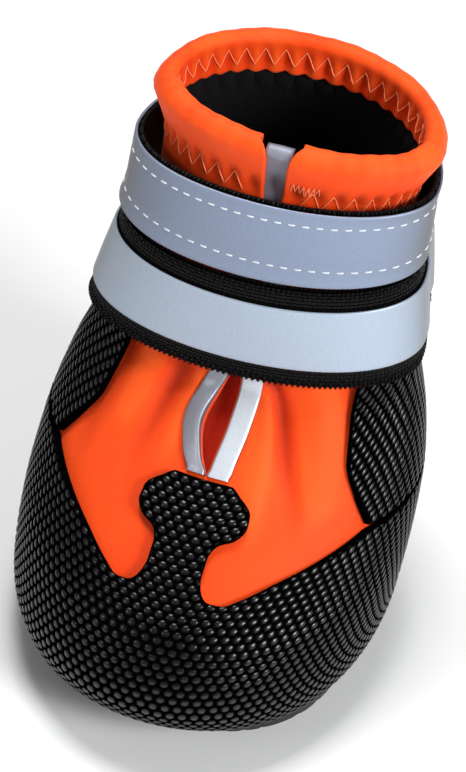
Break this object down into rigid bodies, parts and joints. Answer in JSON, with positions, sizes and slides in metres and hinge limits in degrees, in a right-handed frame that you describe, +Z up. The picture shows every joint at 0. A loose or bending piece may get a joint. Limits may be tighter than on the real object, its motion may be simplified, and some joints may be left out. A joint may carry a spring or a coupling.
{
  "type": "dog boot",
  "caption": "Orange softshell dog boot with a ribbed black rubber sole, woven black bumper and two reflective straps.",
  "frame": {"origin": "middle of the boot's bounding box, on the floor", "axes": "+Z up, -Y towards the toe, +X towards the side where the straps' free ends lie"},
  "size_m": [0.0828, 0.1084, 0.1289],
  "materials": {
    "orange_softshell": "matte",
    "gusset_stretch": "matte",
    "nubby_weave": "matte",
    "black_webbing": "matte",
    "reflective_tape": "satin",
    "loop_pile": "matte",
    "sole_rubber": "matte",
    "insole_fleece": "matte"
  },
  "bodies": {
    "root": {"outsole": "sole_rubber", "insole": "insole_fleece", "upper": "orange_softshell", "gusset": "gusset_stretch", "binding_left": "reflective_tape", "binding_right": "reflective_tape", "collar_tab": "reflective_tape", "bumper": "nubby_weave", "side_panel_left": "nubby_weave", "side_panel_right": "nubby_weave", "lower_strap": "black_webbing", "lower_reflector": "reflective_tape", "upper_strap": "black_webbing", "upper_reflector": "reflective_tape", "lower_loop_patch": "loop_pile", "upper_loop_patch": "loop_pile"}
  },
  "joints": []
}
